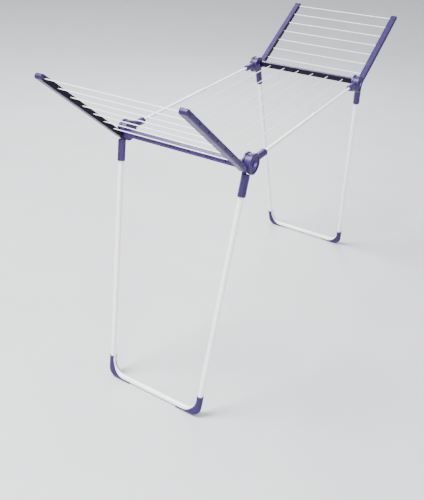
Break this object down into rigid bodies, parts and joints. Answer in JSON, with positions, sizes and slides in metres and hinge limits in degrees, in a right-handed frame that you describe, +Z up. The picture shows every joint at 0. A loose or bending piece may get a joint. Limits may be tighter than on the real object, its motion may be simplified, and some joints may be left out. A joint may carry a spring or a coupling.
{
  "type": "extendable clothes airer",
  "caption": "Free-standing drying rack on two U-shaped leg frames, with telescopic rails, lengthwise lines between crossbars and a folding wing of crosswise lines at each end.",
  "frame": {"origin": "centre of the bounding box in X and Y, on the floor", "axes": "+X runs lengthwise along the telescopic rails, from the taller wing's end to the lower wing's end; +Y runs along the crossbars; +Z is up"},
  "size_m": [1.7498, 0.527, 1.2417],
  "materials": {
    "violet_plastic": "satin moulded blue-violet plastic",
    "coated_tube": "glossy white powder-coated steel tube",
    "dark_strip": "near-black violet moulded strip",
    "end_caps": "satin light violet plastic",
    "foot_caps": "matt violet soft plastic",
    "line_cord": "smooth white plastic-covered cord",
    "zinc_steel": "zinc-plated steel",
    "pin_plastic": "polished pale violet plastic",
    "white_plastic": "white acetal"
  },
  "bodies": {
    "near_deck": {"deck_line_1": "line_cord", "deck_line_2": "line_cord", "deck_line_3": "line_cord", "deck_line_4": "line_cord", "deck_line_5": "line_cord", "deck_line_6": "line_cord", "deck_line_knots": "line_cord", "left_outer_rail": "coated_tube", "near_crossbar": "violet_plastic", "near_crossbar_cover": "dark_strip", "near_crossbar_screws": "zinc_steel", "near_hub_pins": "pin_plastic", "near_left_rail_head": "violet_plastic", "near_right_rail_head": "violet_plastic", "rail_bushes": "white_plastic", "right_outer_rail": "coated_tube"},
    "far_deck": {"far_crossbar": "violet_plastic", "far_crossbar_cover": "dark_strip", "far_crossbar_screws": "zinc_steel", "far_hub_pins": "pin_plastic", "far_left_rail_head": "violet_plastic", "far_right_rail_head": "violet_plastic", "left_inner_rail": "coated_tube", "reel_spring": "zinc_steel", "right_inner_rail": "coated_tube"},
    "line_reel": {"reel_shaft": "zinc_steel", "reel_spools": "white_plastic"},
    "near_legs": {"near_foot_caps": "foot_caps", "near_left_leg_socket": "violet_plastic", "near_leg_frame": "coated_tube", "near_right_leg_socket": "violet_plastic"},
    "far_legs": {"far_foot_caps": "foot_caps", "far_left_leg_socket": "violet_plastic", "far_leg_frame": "coated_tube", "far_right_leg_socket": "violet_plastic"},
    "near_wing": {"near_arm_covers": "dark_strip", "near_arm_end_caps": "end_caps", "near_left_arm": "violet_plastic", "near_right_arm": "violet_plastic", "near_wing_knots": "line_cord", "near_wing_line_1": "line_cord", "near_wing_line_2": "line_cord", "near_wing_line_3": "line_cord", "near_wing_line_4": "line_cord", "near_wing_line_5": "line_cord", "near_wing_line_6": "line_cord", "near_wing_line_7": "line_cord"},
    "far_wing": {"far_arm_covers": "dark_strip", "far_arm_end_caps": "end_caps", "far_left_arm": "violet_plastic", "far_right_arm": "violet_plastic", "far_wing_knots": "line_cord", "far_wing_line_1": "line_cord", "far_wing_line_2": "line_cord", "far_wing_line_3": "line_cord", "far_wing_line_4": "line_cord", "far_wing_line_5": "line_cord", "far_wing_line_6": "line_cord", "far_wing_line_7": "line_cord"}
  },
  "joints": [
    {"name": "rail_slide", "type": "slide", "parent": "near_deck", "child": "far_deck", "axis": [-1, 0, 0], "range_m": [0, 0.33], "deforming": ["deck_line_1", "deck_line_2", "deck_line_3", "deck_line_4", "deck_line_5", "deck_line_6"]},
    {"name": "reel_spin", "type": "hinge", "parent": "far_deck", "child": "line_reel", "pos_m": [0.47615, 0, 0.9538], "axis": [0, 1, 0], "range_deg": [0, 5112]},
    {"name": "near_leg_fold", "type": "hinge", "parent": "near_deck", "child": "near_legs", "pos_m": [-0.50235, 0, 0.955], "axis": [0, -1, 0], "range_deg": [0, 101.7]},
    {"name": "far_leg_fold", "type": "hinge", "parent": "far_deck", "child": "far_legs", "pos_m": [0.45265, 0, 0.955], "axis": [0, 1, 0], "range_deg": [0, 86.7]},
    {"name": "near_wing_fold", "type": "hinge", "parent": "near_deck", "child": "near_wing", "pos_m": [-0.50235, 0, 0.955], "axis": [0, 1, 0], "range_deg": [0, 138]},
    {"name": "far_wing_fold", "type": "hinge", "parent": "far_deck", "child": "far_wing", "pos_m": [0.45265, 0, 0.955], "axis": [0, -1, 0], "range_deg": [0, 140]}
  ],
  "couplings": [
    {"joint": "reel_spin", "follows": "rail_slide", "rad_per_m": 270.27}
  ]
}
